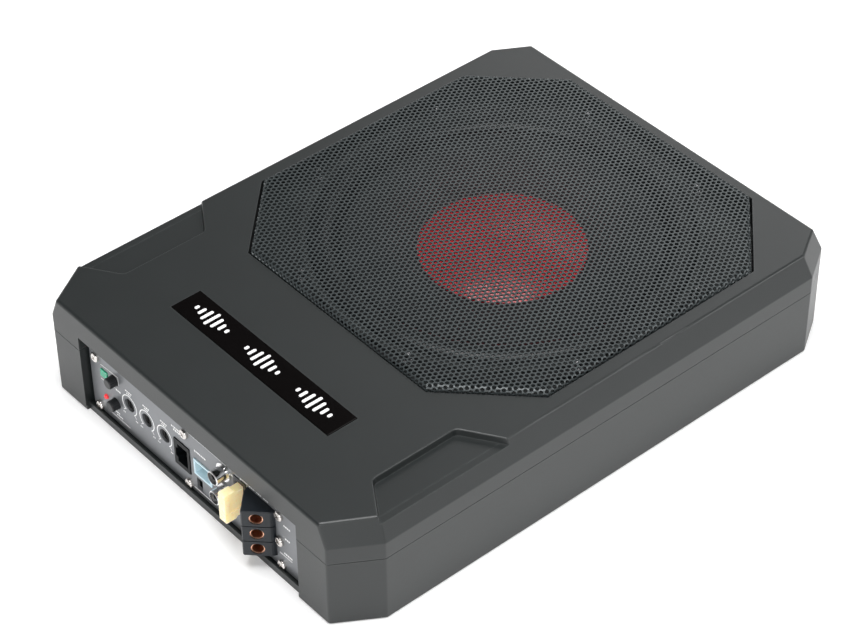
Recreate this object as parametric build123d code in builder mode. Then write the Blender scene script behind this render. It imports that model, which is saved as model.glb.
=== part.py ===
from build123d import *
import math
import os

os.makedirs("parts", exist_ok=True)

# Powered under-seat car subwoofer, 10-inch class. Millimetres.
# The origin is the centre of the flat underside. +Z is up, the control panel faces -Y.

# ---------- driving dimensions ----------
LENGTH = 345.0
WIDTH = 260.0
HEIGHT = 66.0
WALL = 3.0
FRONT = -LENGTH / 2
BACK = LENGTH / 2
HALF_W = WIDTH / 2
SIDE_FRONT_CUT = (15.6, 24.5)  # corner chamfer of the vertical walls, along X and Y
SIDE_BACK_CUT = (14.0, 22.3)
TOP_FRONT_CUT = (15.8, 26.2)  # corner chamfer of the flat top
TOP_BACK_CUT = (12.2, 20.3)
TOP_SIDE_INSET = 5.6
TOP_BACK_INSET = 4.6
SHOULDER_Z = 52.7  # the walls are vertical up to here, then slope in
TRAY_TOP = 42.0
GASKET_T = 0.4
GASKET_INSET = 0.2
COVER_BOTTOM = TRAY_TOP + GASKET_T
EDGE_R = 2.0  # rounding of the case's upright and top edges
FOOT_R = 1.0  # rounding round the underside
INNER_TOP = HEIGHT - WALL
INNER_SHOULDER_Z = 51.6

# control panel bay in the front wall
BAY_HALF = 91.0
BAY_LOW = 3.0
BAY_HIGH = 51.5
BAY_DEPTH = 5.0
LIP_SETBACK = 2.1
SILL_T = 0.9
SILL_TOP = 4.5
PANEL_Y = FRONT + BAY_DEPTH
PANEL_T = 1.6
PANEL_BACK = PANEL_Y + PANEL_T
PANEL_HALF = 89.4
PANEL_LOW = 3.4
PANEL_HIGH = 50.4
POST_FRONT = PANEL_BACK + 0.3
POST_BACK = -157.0
BEAM_LOW = 38.2

# grille and woofer
WOOFER_Y = 44.5
GRILLE_HALF = 115.0
GRILLE_FRONT = -72.0
GRILLE_BACK = 161.0
GRILLE_CUT = 43.5
GRILLE_TOP = 68.5
GRILLE_T = 1.0
GRILLE_RIM_LOW = 61.5
RECESS_GAP = 1.0
BAFFLE_TOP = 56.0
BAFFLE_T = 3.0
BAFFLE_HOLE_R = 109.0
FLANGE_R = 115.5
FLANGE_T = 2.0
FLANGE_SCREW_R = 113.0
CONE_NECK_R = 25.35
CONE_EDGE_R = 90.5
COIL_GAP = 0.5

# case screws and bracket inserts
CASE_SCREWS = [(x * s, y) for s in (-1, 1) for x, y in ((112.0, 148.0), (112.0, -57.0), (104.0, -152.0))]
INSERT_X = 100.0
INSERT_Y = 125.0
INSERT_R = 2.1
INSERT_LEN = 10.0

# control panel features: (x, z) on the panel face
PANEL_SCREWS = [
    (-83.4, 40.4),
    (-83.4, 6.1),
    (-6.0, 40.4),
    (-4.7, 6.1),
    (71.6, 40.4),
    (72.2, 6.1),
    (71.2, 22.2),
]
PANEL_HEAD_R = 3.0
PANEL_HEAD_T = 1.8
POWER_LED = (-76.9, 32.6)
PROTECT_LED = (-77.0, 16.4)
BUTTONS = {"phase": (-68.0, 34.0), "auto_on": (-68.0, 17.6)}
KNOBS = {"gain": (-55.5, 25.0), "low_pass": (-40.2, 25.0), "bass_boost": (-24.9, 25.0)}
BUTTON_R = 3.2
BUTTON_OUT = 4.8
BUTTON_TRAVEL = 2.0
KNOB_R = 3.4
KNOB_HOLE_R = 4.1
RJ_BOX = (-16.3, 13.0, 13.2, 18.0)  # low x, low z, size x, size z
HEADER_BOX = (0.6, 17.5, 15.0, 10.6)
LATCH_SLOT = (1.6, 7.4, 4.8, 7.6)
RCA_X = 26.8
RCA_Z = (23.5, 37.4)
RCA_R = 4.15
RCA_OUT = 7.8
FUSE_BOX = (37.0, 19.5, 5.2, 19.0)
FUSE_OUT = 12.0
HOLDER_BOX = (34.6, 16.6, 10.0, 24.8)

# terminal block: a wedge with a 45 degree face either side of its nose
BLOCK_LEFT = 46.0
BLOCK_RIGHT = 68.0
BLOCK_SIDE = 2.5
BLOCK_LOW = 9.7
BLOCK_HIGH = 41.0
BLOCK_BACK = -157.0
LAYER = (BLOCK_HIGH - BLOCK_LOW) / 3
WIRE_R = 3.1
MOUTH_R = 3.65
BRASS_HALF = 4.3
SCREW_R = 1.95
CLAMP_TRAVEL = 2.2

# amplifier
BOARD_Z = 9.0
BOARD_T = 1.6
BOARD_TOP = BOARD_Z + BOARD_T
BOARD_HALF = 88.0
BOARD_FRONT = -156.0
BOARD_BACK = -66.0
STANDOFFS = [(sx * 83.0, y) for sx in (-1, 1) for y in (-134.0, -72.0)]
CONTROL_BOARD_Y = -153.9


# ---------- helpers ----------
def octagon(half_w, front, back, front_cut, back_cut):
    """Eight points of a rectangle with chamfered corners."""
    right = [
        (half_w - front_cut[0], front),
        (half_w, front + front_cut[1]),
        (half_w, back - back_cut[1]),
        (half_w - back_cut[0], back),
    ]
    return right + [(-x, y) for x, y in reversed(right)]


def wall_outline(inset=0.0):
    """Plan of the vertical walls."""
    return octagon(HALF_W - inset, FRONT + inset, BACK - inset, SIDE_FRONT_CUT, SIDE_BACK_CUT)


def top_outline(inset=0.0):
    """Plan of the flat top."""
    half = HALF_W - TOP_SIDE_INSET - inset
    return octagon(half, FRONT + inset, BACK - TOP_BACK_INSET - inset, TOP_FRONT_CUT, TOP_BACK_CUT)


def grille_outline(grow=0.0):
    """Plan of the grille, with equal 45 degree corners."""
    cut = (GRILLE_CUT, GRILLE_CUT)
    return octagon(GRILLE_HALF + grow, GRILLE_FRONT - grow, GRILLE_BACK + grow, cut, cut)


def grip_outline(side, grow=0.0):
    """Finger recess at one side of the top, open over the shoulder."""
    inner = 103.0 - grow
    return [
        (side * 140.0, -157.0 - grow),
        (side * inner, -132.5 - grow),
        (side * inner, -79.5 + grow),
        (side * 140.0, -55.0 + grow),
    ]


def panel_plane(out=0.0):
    """Plane of the panel face moved outward: local x is X, local y is Z, normal is -Y."""
    return Plane(origin=(0, PANEL_Y - out, 0), x_dir=(1, 0, 0), z_dir=(0, -1, 0))


def box_centre(low_x, low_z, size_x, size_z):
    """Centre on the panel of a box given by its low corner and size."""
    return (low_x + size_x / 2, low_z + size_z / 2)


def wedge_outline(grow=0.0):
    """Plan of the terminal block in front of the panel."""
    middle = (BLOCK_LEFT + BLOCK_RIGHT) / 2
    nose = PANEL_Y - BLOCK_SIDE - (BLOCK_RIGHT - BLOCK_LEFT) / 2
    shoulder = PANEL_Y - BLOCK_SIDE
    return [
        (BLOCK_LEFT - grow, PANEL_Y),
        (BLOCK_LEFT - grow, shoulder - grow / 2),
        (middle, nose - grow * 1.4),
        (BLOCK_RIGHT + grow, shoulder - grow / 2),
        (BLOCK_RIGHT + grow, PANEL_Y),
    ]


BLOCK_MID = (BLOCK_LEFT + BLOCK_RIGHT) / 2
FACE_STEP = (BLOCK_RIGHT - BLOCK_LEFT) / 4
FACE_Y = PANEL_Y - BLOCK_SIDE - FACE_STEP
LAYER_Z = [BLOCK_LOW + LAYER * (i + 0.5) for i in range(3)]
AXIS_DEPTH = FACE_STEP * math.sqrt(2)  # from either 45 degree face to where the axes cross


def wire_plane(z, out=0.0):
    """Plane on the wire entry face, normal along the wire bore and out of its mouth."""
    shift = out / math.sqrt(2)
    origin = (BLOCK_MID + FACE_STEP + shift, FACE_Y - shift, z)
    return Plane(origin=origin, x_dir=(1, 1, 0), z_dir=(1, -1, 0))


def clamp_plane(z, out=0.0):
    """Plane on the clamp screw face, normal along the screw and out of its hole."""
    shift = out / math.sqrt(2)
    origin = (BLOCK_MID - FACE_STEP - shift, FACE_Y - shift, z)
    return Plane(origin=origin, x_dir=(1, -1, 0), z_dir=(-1, -1, 0))


def save(builder, label):
    """Label a finished piece and write it."""
    builder.part.label = label
    export_step(builder.part, f"parts/{label}.step")


# ---------- enclosure ----------
with BuildPart() as base_tray:
    with BuildSketch():
        Polygon(*wall_outline(), align=None)
    extrude(amount=TRAY_TOP)
    fillet(base_tray.edges().filter_by(Axis.Z), EDGE_R)
    fillet(base_tray.faces().sort_by(Axis.Z)[0].edges(), FOOT_R)
    with BuildSketch(Plane.XY.offset(WALL)):
        Polygon(*wall_outline(WALL), align=None)
    extrude(amount=TRAY_TOP, mode=Mode.SUBTRACT)
    # linings either side of the panel bay, then the bay itself
    with BuildSketch(Plane.XY.offset(WALL)):
        for side in (-1, 1):
            with Locations((side * (BAY_HALF + WALL / 2), FRONT + 4.5)):
                Rectangle(WALL, 9.0)
    extrude(amount=TRAY_TOP - WALL)
    with BuildSketch(Plane.XY.offset(BAY_LOW)):
        with Locations((0, FRONT)):
            Rectangle(2 * BAY_HALF, 4 * WALL)
    extrude(amount=TRAY_TOP, mode=Mode.SUBTRACT)
    with BuildSketch():
        with Locations((0, FRONT)):
            Rectangle(2 * BAY_HALF - 1, 2 * LIP_SETBACK)
    extrude(amount=BAY_LOW, mode=Mode.SUBTRACT)
    # thin sill that stands up along the front of the bay
    with BuildSketch(Plane.XY.offset(BAY_LOW)):
        with Locations((0, FRONT + LIP_SETBACK + SILL_T / 2)):
            Rectangle(2 * BAY_HALF, SILL_T)
    extrude(amount=SILL_TOP - BAY_LOW)
    # posts, beam and floor lugs that the panel screws bite into
    post_mid = (POST_FRONT + POST_BACK) / 2
    post_deep = POST_BACK - POST_FRONT
    with BuildSketch(Plane.XY.offset(WALL)):
        for x_low, x_high in ((-BAY_HALF, -80.5), (17.0, 19.4), (69.0, BAY_HALF)):
            with Locations(((x_low + x_high) / 2, post_mid)):
                Rectangle(x_high - x_low, post_deep)
    extrude(amount=TRAY_TOP - WALL)
    with BuildSketch(Plane.XY.offset(BEAM_LOW)):
        with Locations(((-BAY_HALF + 19.4) / 2, post_mid)):
            Rectangle(BAY_HALF + 19.4, post_deep)
    extrude(amount=TRAY_TOP - BEAM_LOW)
    with BuildSketch(Plane.XY.offset(WALL)):
        with Locations((PANEL_SCREWS[3][0], post_mid)):
            Rectangle(10, post_deep)
    extrude(amount=5.4)
    with BuildSketch(panel_plane()):
        with Locations(*PANEL_SCREWS):
            Circle(1.35)
    extrude(amount=-9, mode=Mode.SUBTRACT)
    # columns for the case screws, bosses for the bracket inserts, standoffs for the board
    with BuildSketch(Plane.XY.offset(WALL)):
        with Locations(*CASE_SCREWS):
            Circle(5.5)
    extrude(amount=TRAY_TOP - WALL)
    with Locations(*[(x, y, 0) for x, y in CASE_SCREWS]):
        Cylinder(2.2, TRAY_TOP, align=(Align.CENTER, Align.CENTER, Align.MIN), mode=Mode.SUBTRACT)
        Cylinder(4.3, 5.0, align=(Align.CENTER, Align.CENTER, Align.MIN), mode=Mode.SUBTRACT)
    with BuildSketch(Plane.XY.offset(WALL)):
        with GridLocations(2 * INSERT_X, 2 * INSERT_Y, 2, 2):
            Circle(7.0)
    extrude(amount=INSERT_LEN)
    with GridLocations(2 * INSERT_X, 2 * INSERT_Y, 2, 2):
        Cylinder(3.9, 2 * INSERT_LEN + 0.4, mode=Mode.SUBTRACT)
    with BuildSketch(Plane.XY.offset(WALL)):
        with Locations(*STANDOFFS):
            Circle(4.0)
    extrude(amount=BOARD_Z - WALL)
    with BuildSketch(Plane.XY.offset(WALL)):
        with Locations(*STANDOFFS):
            Circle(1.3)
    extrude(amount=BOARD_Z, mode=Mode.SUBTRACT)
    # stiffening ribs on the floor, clear of the magnet
    with BuildSketch(Plane.XY.offset(WALL)):
        for x in (-90.0, 90.0):
            with Locations((x, 45.0)):
                Rectangle(1.6, 180.0)
    extrude(amount=6.0)
save(base_tray, "base_tray")

with BuildPart() as shell_gasket:
    with BuildSketch(Plane.XY.offset(TRAY_TOP)):
        Polygon(*wall_outline(GASKET_INSET), align=None)
        Polygon(*wall_outline(WALL - 0.4), align=None, mode=Mode.SUBTRACT)
        with Locations((0, FRONT)):
            Rectangle(2 * (BAY_HALF + WALL) + 0.2, 6 * WALL, mode=Mode.SUBTRACT)
    extrude(amount=GASKET_T)
save(shell_gasket, "shell_gasket")

with BuildPart() as top_cover:
    with BuildSketch(Plane.XY.offset(COVER_BOTTOM)):
        Polygon(*wall_outline(), align=None)
    extrude(amount=SHOULDER_Z - COVER_BOTTOM)
    with BuildSketch(Plane.XY.offset(SHOULDER_Z)):
        Polygon(*wall_outline(), align=None)
    with BuildSketch(Plane.XY.offset(HEIGHT)):
        Polygon(*top_outline(), align=None)
    loft(ruled=True)
    fillet(top_cover.edges().filter_by(lambda e: e.center().Z > COVER_BOTTOM + 0.1), EDGE_R)
    with BuildSketch(Plane.XY.offset(COVER_BOTTOM)):
        Polygon(*wall_outline(WALL), align=None)
    extrude(amount=INNER_SHOULDER_Z - COVER_BOTTOM, mode=Mode.SUBTRACT)
    with BuildSketch(Plane.XY.offset(INNER_SHOULDER_Z)):
        Polygon(*wall_outline(WALL), align=None)
    with BuildSketch(Plane.XY.offset(INNER_TOP)):
        Polygon(*top_outline(WALL), align=None)
    loft(ruled=True, mode=Mode.SUBTRACT)
    # well for the grille, its walls and the baffle under it
    with BuildSketch(Plane.XY.offset(BAFFLE_TOP - BAFFLE_T)):
        Polygon(*grille_outline(RECESS_GAP + 2.5), align=None)
    extrude(amount=INNER_TOP - BAFFLE_TOP + BAFFLE_T + 1)
    with BuildSketch(Plane.XY.offset(BAFFLE_TOP)):
        Polygon(*grille_outline(RECESS_GAP), align=None)
    extrude(amount=HEIGHT, mode=Mode.SUBTRACT)
    with BuildSketch(Plane.XY.offset(BAFFLE_TOP - BAFFLE_T)):
        with Locations((0, WOOFER_Y)):
            Circle(BAFFLE_HOLE_R)
    extrude(amount=2 * BAFFLE_T, mode=Mode.SUBTRACT)
    with BuildSketch(Plane.XY.offset(BAFFLE_TOP - 2 * BAFFLE_T)):
        with Locations((0, WOOFER_Y)):
            with PolarLocations(FLANGE_SCREW_R, 8, start_angle=22.5):
                Circle(1.6)
    extrude(amount=3 * BAFFLE_T, mode=Mode.SUBTRACT)
    # finger recesses with a thickened skin below them
    for side in (-1, 1):
        with BuildSketch(Plane.XY.offset(HEIGHT - 6.5)):
            Polygon(*grip_outline(side, 3.0), align=None)
            Polygon(*top_outline(TOP_SIDE_INSET / 2), align=None, mode=Mode.INTERSECT)
        extrude(amount=6.0)
        with BuildSketch(Plane.XY.offset(HEIGHT - 3.6)) as pocket:
            Polygon(*grip_outline(side), align=None)
            fillet(pocket.vertices().filter_by(lambda v, s=side: v.X * s < 110), 4.0)
        extrude(amount=6.0, taper=-12, mode=Mode.SUBTRACT)
        rim = top_cover.edges().filter_by(
            lambda e, s=side: e.center().Z > HEIGHT - 0.1
            and 100 < e.center().X * s < 124.3
            and -147 < e.center().Y < -60
            and e.length > 2
        )
        fillet(rim, 0.7)
    # bosses for the case screws
    with BuildSketch(Plane.XY.offset(COVER_BOTTOM)):
        with Locations(*CASE_SCREWS):
            Circle(5.5)
    extrude(amount=INNER_TOP - COVER_BOTTOM + 0.5)
    with BuildSketch(Plane.XY.offset(COVER_BOTTOM)):
        with Locations(*CASE_SCREWS):
            Circle(2.05)
    extrude(amount=14, mode=Mode.SUBTRACT)
    # lining of the panel bay, then the bay
    with BuildSketch(Plane.XY.offset(COVER_BOTTOM)):
        with Locations((0, FRONT + 4.5)):
            Rectangle(2 * (BAY_HALF + WALL), 9.0)
    extrude(amount=BAY_HIGH + WALL - COVER_BOTTOM)
    with BuildSketch(Plane.XY.offset(COVER_BOTTOM)):
        with Locations((0, FRONT + 4.5)):
            Rectangle(2 * BAY_HALF, 12.0)
    extrude(amount=BAY_HIGH - COVER_BOTTOM, mode=Mode.SUBTRACT)
    # shallow seat for the badge
    with BuildSketch(Plane.XY.offset(HEIGHT - 0.7)):
        with Locations((0, -120.5)):
            Rectangle(129.6, 19.6)
    extrude(amount=1.0, mode=Mode.SUBTRACT)
save(top_cover, "top_cover")

with BuildPart() as grille:
    with BuildSketch(Plane.XY.offset(GRILLE_RIM_LOW)):
        Polygon(*grille_outline(), align=None)
    extrude(amount=GRILLE_TOP - GRILLE_RIM_LOW)
    fillet(grille.faces().sort_by(Axis.Z)[-1].edges(), 2.6)
    with BuildPart(mode=Mode.PRIVATE) as hollow:
        with BuildSketch(Plane.XY.offset(GRILLE_RIM_LOW)):
            Polygon(*grille_outline(-GRILLE_T), align=None)
        extrude(amount=GRILLE_TOP - GRILLE_RIM_LOW - GRILLE_T)
        fillet(hollow.faces().sort_by(Axis.Z)[-1].edges(), 1.6)
    add(hollow.part, mode=Mode.SUBTRACT)
save(grille, "grille")

with BuildPart() as badge_plate:
    with BuildSketch(Plane.XY.offset(HEIGHT - 0.6)):
        with Locations((0, -120.5)):
            Rectangle(129.0, 19.0)
    extrude(amount=1.1)
    chamfer(badge_plate.faces().sort_by(Axis.Z)[-1].edges(), 0.25)
save(badge_plate, "badge_plate")

BAR_HEIGHTS = [3.0, 5.5, 8.5, 11.0, 8.5, 5.5, 3.0]
with BuildPart() as badge_emblem:
    with BuildSketch(Plane.XY.offset(HEIGHT + 0.52)):
        for group in (-42.0, 0.0, 42.0):
            for index, bar in enumerate(BAR_HEIGHTS):
                with Locations((group + 4.2 * (index - 3), -120.5)):
                    SlotOverall(bar, 1.8, rotation=90)
    extrude(amount=0.3)
save(badge_emblem, "badge_emblem")

with BuildPart() as case_screws:
    with Locations(*[(x, y, 1.6) for x, y in CASE_SCREWS]):
        Cylinder(4.0, 3.3, align=(Align.CENTER, Align.CENTER, Align.MIN))
    with Locations(*[(x, y, 4.9) for x, y in CASE_SCREWS]):
        Cylinder(2.0, 48.0, align=(Align.CENTER, Align.CENTER, Align.MIN))
    with Locations(*[(x, y, 1.6) for x, y in CASE_SCREWS]):
        Box(4.4, 0.9, 3.0, mode=Mode.SUBTRACT)
        Box(0.9, 4.4, 3.0, mode=Mode.SUBTRACT)
save(case_screws, "case_screws")

with BuildPart() as bracket_inserts:
    with BuildSketch(Plane.XY.offset(0.2)):
        with GridLocations(2 * INSERT_X, 2 * INSERT_Y, 2, 2):
            Circle(3.85)
            Circle(INSERT_R, mode=Mode.SUBTRACT)
    extrude(amount=INSERT_LEN)
save(bracket_inserts, "bracket_inserts")
# ---------- woofer ----------
WOOFER_AXIS_PLANE = Plane(origin=(0, WOOFER_Y, 0), x_dir=(1, 0, 0), z_dir=(0, -1, 0))
WOOFER_AXIS = Axis((0, WOOFER_Y, 0), (0, 0, 1))

with BuildPart() as basket:
    with BuildSketch(WOOFER_AXIS_PLANE):
        Polygon(
            (36, 30),
            (57, 30),
            (57, 35),
            (62, 35),
            (102, 44),
            (107.5, 53),
            (107.5, BAFFLE_TOP),
            (FLANGE_R, BAFFLE_TOP),
            (FLANGE_R, BAFFLE_TOP + FLANGE_T),
            (105.5, BAFFLE_TOP + FLANGE_T),
            (105.5, 53.6),
            (100.8, 46),
            (61.5, 37.3),
            (55, 37.3),
            (55, 32),
            (36, 32),
            align=None,
        )
    revolve(axis=WOOFER_AXIS)
    # six windows between the arms
    with BuildSketch(Plane.XY.offset(30)):
        with Locations((0, WOOFER_Y)):
            Circle(98.0)
            Circle(65.0, mode=Mode.SUBTRACT)
            with PolarLocations(80.0, 6):
                Rectangle(50.0, 26.0, mode=Mode.SUBTRACT)
    extrude(amount=20, mode=Mode.SUBTRACT)
    with BuildSketch(Plane.XY.offset(BAFFLE_TOP - 1)):
        with Locations((0, WOOFER_Y)):
            with PolarLocations(FLANGE_SCREW_R, 8, start_angle=22.5):
                Circle(1.7)
    extrude(amount=FLANGE_T + 2, mode=Mode.SUBTRACT)
save(basket, "basket")

with BuildPart() as yoke:
    with BuildSketch(Plane.XY.offset(5)):
        with Locations((0, WOOFER_Y)):
            Circle(54)
    extrude(amount=5.9)
    with BuildSketch(Plane.XY.offset(5)):
        with Locations((0, WOOFER_Y)):
            Circle(CONE_NECK_R - 0.35 - COIL_GAP)
    extrude(amount=24.9)
save(yoke, "yoke")

with BuildPart() as magnet:
    with BuildSketch(Plane.XY.offset(11)):
        with Locations((0, WOOFER_Y)):
            Circle(58)
            Circle(34, mode=Mode.SUBTRACT)
    extrude(amount=13.8)
    chamfer(magnet.edges().filter_by(GeomType.CIRCLE), 0.8)
save(magnet, "magnet")

with BuildPart() as top_plate:
    with BuildSketch(Plane.XY.offset(24.9)):
        with Locations((0, WOOFER_Y)):
            Circle(54)
            Circle(CONE_NECK_R + 0.75 + COIL_GAP, mode=Mode.SUBTRACT)
    extrude(amount=5.0)
save(top_plate, "top_plate")

with BuildPart() as voice_coil_former:
    with BuildSketch(Plane.XY.offset(18)):
        with Locations((0, WOOFER_Y)):
            Circle(CONE_NECK_R - 0.05)
            Circle(CONE_NECK_R - 0.35, mode=Mode.SUBTRACT)
    extrude(amount=28)
save(voice_coil_former, "voice_coil_former")

with BuildPart() as voice_coil:
    with BuildSketch(Plane.XY.offset(20.4)):
        with Locations((0, WOOFER_Y)):
            Circle(CONE_NECK_R + 0.75)
            Circle(CONE_NECK_R, mode=Mode.SUBTRACT)
    extrude(amount=14)
save(voice_coil, "voice_coil")

CONE_SLOPE = (57.9 - 45.5) / (86.5 - CONE_NECK_R)
with BuildPart() as cone:
    with BuildSketch(WOOFER_AXIS_PLANE):
        Polygon(
            (CONE_NECK_R, 44.6),
            (86.7, 57.0),
            (CONE_EDGE_R, 57.0),
            (CONE_EDGE_R, 57.9),
            (86.5, 57.9),
            (CONE_NECK_R, 45.5),
            align=None,
        )
    revolve(axis=WOOFER_AXIS)
save(cone, "cone")

CAP_R = 46.5
CAP_EDGE_Z = 51.0
CAP_TOP_Z = 61.5
CAP_T = 0.8


def sphere_z(r, edge_r, edge_z, top_z):
    """Height of a spherical cap at radius r."""
    rise = top_z - edge_z
    ball = (edge_r**2 + rise**2) / (2 * rise)
    return top_z - ball + math.sqrt(ball**2 - r**2)


def cone_top(r):
    """Height of the cone's upper face at radius r."""
    return 45.5 + (r - CONE_NECK_R) * CONE_SLOPE


with BuildPart() as dust_cap:
    inner_r = CAP_R - 3
    with BuildSketch(WOOFER_AXIS_PLANE):
        with BuildLine():
            Line((0, CAP_TOP_Z - CAP_T), (0, CAP_TOP_Z))
            ThreePointArc(
                (0, CAP_TOP_Z), (24, sphere_z(24, CAP_R, CAP_EDGE_Z, CAP_TOP_Z)), (CAP_R, CAP_EDGE_Z)
            )
            Line((CAP_R, CAP_EDGE_Z), (CAP_R, cone_top(CAP_R) + 0.08))
            Line((CAP_R, cone_top(CAP_R) + 0.08), (inner_r, cone_top(inner_r) + 0.08))
            Line((inner_r, cone_top(inner_r) + 0.08), (inner_r, CAP_EDGE_Z - 0.1))
            ThreePointArc(
                (inner_r, CAP_EDGE_Z - 0.1),
                (24, sphere_z(24, inner_r, CAP_EDGE_Z - 0.1, CAP_TOP_Z - CAP_T)),
                (0, CAP_TOP_Z - CAP_T),
            )
        make_face()
    revolve(axis=WOOFER_AXIS)
save(dust_cap, "dust_cap")

ROLL_OUT = 105.5
ROLL_IN = 90.0
ROLL_MID = (ROLL_OUT + ROLL_IN) / 2
LEDGE_LOW = BAFFLE_TOP + FLANGE_T + 0.05
LEDGE_TOP = LEDGE_LOW + 0.8
ROLL_TOP = 64.2
with BuildPart() as surround:
    with BuildSketch(WOOFER_AXIS_PLANE):
        with BuildLine():
            Polyline(
                (ROLL_OUT, LEDGE_TOP),
                (110.3, LEDGE_TOP),
                (110.3, LEDGE_LOW),
                (ROLL_OUT - 0.8, LEDGE_LOW),
            )
            ThreePointArc((ROLL_OUT - 0.8, LEDGE_LOW), (ROLL_MID, ROLL_TOP - 0.8), (ROLL_IN + 0.8, LEDGE_LOW))
            Polyline((ROLL_IN + 0.8, LEDGE_LOW), (87.2, LEDGE_LOW), (87.2, LEDGE_TOP), (ROLL_IN, LEDGE_TOP))
            ThreePointArc((ROLL_IN, LEDGE_TOP), (ROLL_MID, ROLL_TOP), (ROLL_OUT, LEDGE_TOP))
        make_face()
    revolve(axis=WOOFER_AXIS)
save(surround, "surround")

SPIDER_LOW = 37.4
WAVES = 5
with BuildPart() as spider:
    start_r = CONE_NECK_R + 0.15
    flat_r = 30.0
    wave_end = 54.0
    step = (wave_end - flat_r) / (2 * WAVES)
    ups = [(flat_r + step * i, SPIDER_LOW + (1.6 if i % 2 else 0.0)) for i in range(2 * WAVES + 1)]
    low = [(start_r, SPIDER_LOW)] + ups + [(60.5, SPIDER_LOW)]
    high = [(r, z + 0.6) for r, z in reversed(low)]
    with BuildSketch(WOOFER_AXIS_PLANE):
        Polygon(*low, *high, align=None)
    revolve(axis=WOOFER_AXIS)
save(spider, "spider")

with BuildPart() as woofer_gasket:
    with BuildSketch(Plane.XY.offset(LEDGE_TOP + 0.05)):
        with Locations((0, WOOFER_Y)):
            Circle(110.2)
            Circle(105.8, mode=Mode.SUBTRACT)
    extrude(amount=2.0)
    fillet(woofer_gasket.faces().sort_by(Axis.Z)[-1].edges(), 0.6)
save(woofer_gasket, "woofer_gasket")

with BuildPart() as woofer_screws:
    with Locations((0, WOOFER_Y, BAFFLE_TOP + FLANGE_T + 0.05)):
        with PolarLocations(FLANGE_SCREW_R, 8, start_angle=22.5):
            Cylinder(2.3, 1.8, align=(Align.CENTER, Align.CENTER, Align.MIN))
            Cylinder(1.5, 14.0)
    fillet(woofer_screws.faces().group_by(Axis.Z)[-1].edges(), 0.6)
save(woofer_screws, "woofer_screws")

with BuildPart() as tag_board:
    with BuildSketch(Plane.XY.offset(40)):
        with Locations((0, -66.0)):
            Rectangle(18, 1.6)
    extrude(amount=12)
    with BuildSketch(Plane.XY.offset(50.4)):
        with Locations((0, -64.1)):
            Rectangle(12, 2.4)
    extrude(amount=1.6)
save(tag_board, "tag_board")

# ---------- amplifier ----------
with BuildPart() as amp_board:
    with BuildSketch(Plane.XY.offset(BOARD_Z)):
        with Locations((0, (BOARD_FRONT + BOARD_BACK) / 2)):
            Rectangle(2 * BOARD_HALF, BOARD_BACK - BOARD_FRONT)
        with Locations(*STANDOFFS):
            Circle(1.7, mode=Mode.SUBTRACT)
    extrude(amount=BOARD_T)
save(amp_board, "amp_board")

with BuildPart() as board_screws:
    with Locations(*[(x, y, BOARD_TOP + 0.05) for x, y in STANDOFFS]):
        Cylinder(2.8, 1.8, align=(Align.CENTER, Align.CENTER, Align.MIN))
        Cylinder(1.25, 6.0, align=(Align.CENTER, Align.CENTER, Align.MAX))
save(board_screws, "board_screws")

with BuildPart() as control_board:
    with BuildSketch(Plane.XZ.offset(-CONTROL_BOARD_Y)):
        with Locations((-51, 23.8)):
            Rectangle(66, 25.4)
    extrude(amount=-1.6)
save(control_board, "control_board")

FINS = 14
with BuildPart() as heatsink:
    with BuildSketch(Plane.XY.offset(BOARD_TOP + 0.4)):
        with Locations((0, -71.6)):
            Rectangle(140, 4.0)
        with Locations((0, -65.6)):
            with GridLocations(140 / FINS, 1, FINS, 1):
                Rectangle(1.8, 9.0)
    extrude(amount=25)
save(heatsink, "heatsink")

TRANSISTOR_X = [-48.0, -16.0, 16.0, 48.0]
with BuildPart() as power_transistors:
    with Locations(*[(x, -76.0, 22.0) for x in TRANSISTOR_X]):
        Box(10.2, 4.4, 15.6)
    with Locations(*[(x + pitch, -76.0, 12.5) for x in TRANSISTOR_X for pitch in (-2.54, 0, 2.54)]):
        Box(1.0, 0.6, 3.7)
save(power_transistors, "power_transistors")

with BuildPart() as transformer:
    with BuildSketch(Plane.XY.offset(BOARD_TOP + 0.05)):
        with Locations((-52, -115)):
            Circle(20)
            Circle(8, mode=Mode.SUBTRACT)
    extrude(amount=17)
    fillet(transformer.edges().filter_by(GeomType.CIRCLE), 4.5)
save(transformer, "transformer")

with BuildPart() as capacitors:
    with BuildSketch(Plane.XY.offset(BOARD_TOP + 0.05)):
        with Locations((12, -112)):
            with GridLocations(22, 24, 2, 2):
                Circle(9)
    extrude(amount=30)
    fillet(capacitors.faces().group_by(Axis.Z)[-1].edges(), 1.2)
save(capacitors, "capacitors")

with BuildPart() as output_coils:
    with BuildSketch(Plane.XY.offset(BOARD_TOP + 0.05)):
        with Locations((58, -122), (58, -98)):
            Circle(10)
            Circle(4, mode=Mode.SUBTRACT)
    extrude(amount=11)
    fillet(output_coils.edges().filter_by(GeomType.CIRCLE), 2.4)
save(output_coils, "output_coils")

# two speaker wires from the board up to the tag board, held along their whole length
with BuildPart() as speaker_wires:
    for x in (5.0, -5.0):
        with BuildLine() as route:
            FilletPolyline(
                (x * 1.6, -81.5, BOARD_TOP + 0.05),
                (x * 1.6, -81.5, 40.5),
                (x, -67.4, 45.5),
                radius=6.0,
            )
        with BuildSketch(Plane(origin=route.line @ 0, z_dir=route.line % 0)):
            Circle(1.1)
        sweep(path=route.line)
save(speaker_wires, "speaker_wires")

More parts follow.
